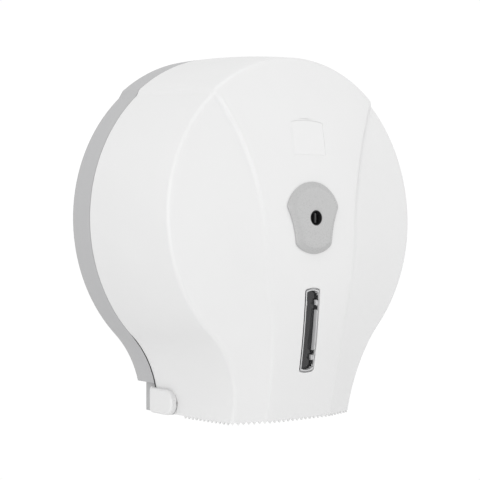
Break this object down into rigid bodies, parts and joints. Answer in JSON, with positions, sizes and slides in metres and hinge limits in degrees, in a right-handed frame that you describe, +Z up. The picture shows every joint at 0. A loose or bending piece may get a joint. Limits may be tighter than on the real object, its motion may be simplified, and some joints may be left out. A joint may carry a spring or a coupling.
{
  "type": "jumbo toilet roll dispenser",
  "caption": "Wall-mounted round dispenser for a large paper roll: grey back plate, domed white cover on bottom hinges, turning hub, key lock and sight window.",
  "frame": {"origin": "on the wall face of the back plate, where the roll's turning axis meets the wall", "axes": "+X to the right seen from the front, +Y into the wall along the roll axis (the front faces -Y), +Z up"},
  "size_m": [0.256, 0.1382, 0.2837],
  "materials": {
    "cover_white": "satin gloss moulded",
    "plate_grey": "satin moulded",
    "lock_grey": "satin gloss moulded",
    "smoked_lens": "polished, smoked",
    "badge_white": "plain gloss",
    "lock_black": "fine matt",
    "zinc_steel": "zinc plated",
    "hub_grey": "satin moulded",
    "post_grey": "satin moulded",
    "nylon_natural": "plain",
    "buffer_rubber": "matt"
  },
  "bodies": {
    "unit": {"back_plate": "plate_grey", "rim_buffers": "buffer_rubber", "hinge_pin_left": "zinc_steel", "hinge_pin_right": "zinc_steel", "spindle_post": "post_grey", "spindle_screws": "zinc_steel", "thrust_washer": "nylon_natural", "strike_plate": "zinc_steel", "strike_screws": "zinc_steel"},
    "cover": {"front_cover": "cover_white", "window_lens": "smoked_lens", "name_badge": "badge_white", "lock_plate": "lock_grey", "lock_plate_screws": "zinc_steel", "lock_housing": "lock_black"},
    "lock": {"lock_plug": "lock_black", "stop_washer": "zinc_steel", "plug_clip": "zinc_steel", "lock_cam": "zinc_steel", "cam_screw": "zinc_steel"},
    "hub": {"roll_hub": "hub_grey"}
  },
  "joints": [
    {"name": "cover_hinge", "type": "hinge", "parent": "unit", "child": "cover", "pos_m": [0, -0.021, -0.1423], "axis": [1, 0, 0], "range_deg": [0, 95]},
    {"name": "lock_turn", "type": "hinge", "parent": "cover", "child": "lock", "pos_m": [0, -0.12, 0], "axis": [0, 1, 0], "range_deg": [0, 90]},
    {"name": "hub_spin", "type": "hinge", "parent": "unit", "child": "hub", "pos_m": [0, -0.06, 0], "axis": [0, 1, 0], "continuous": true}
  ]
}
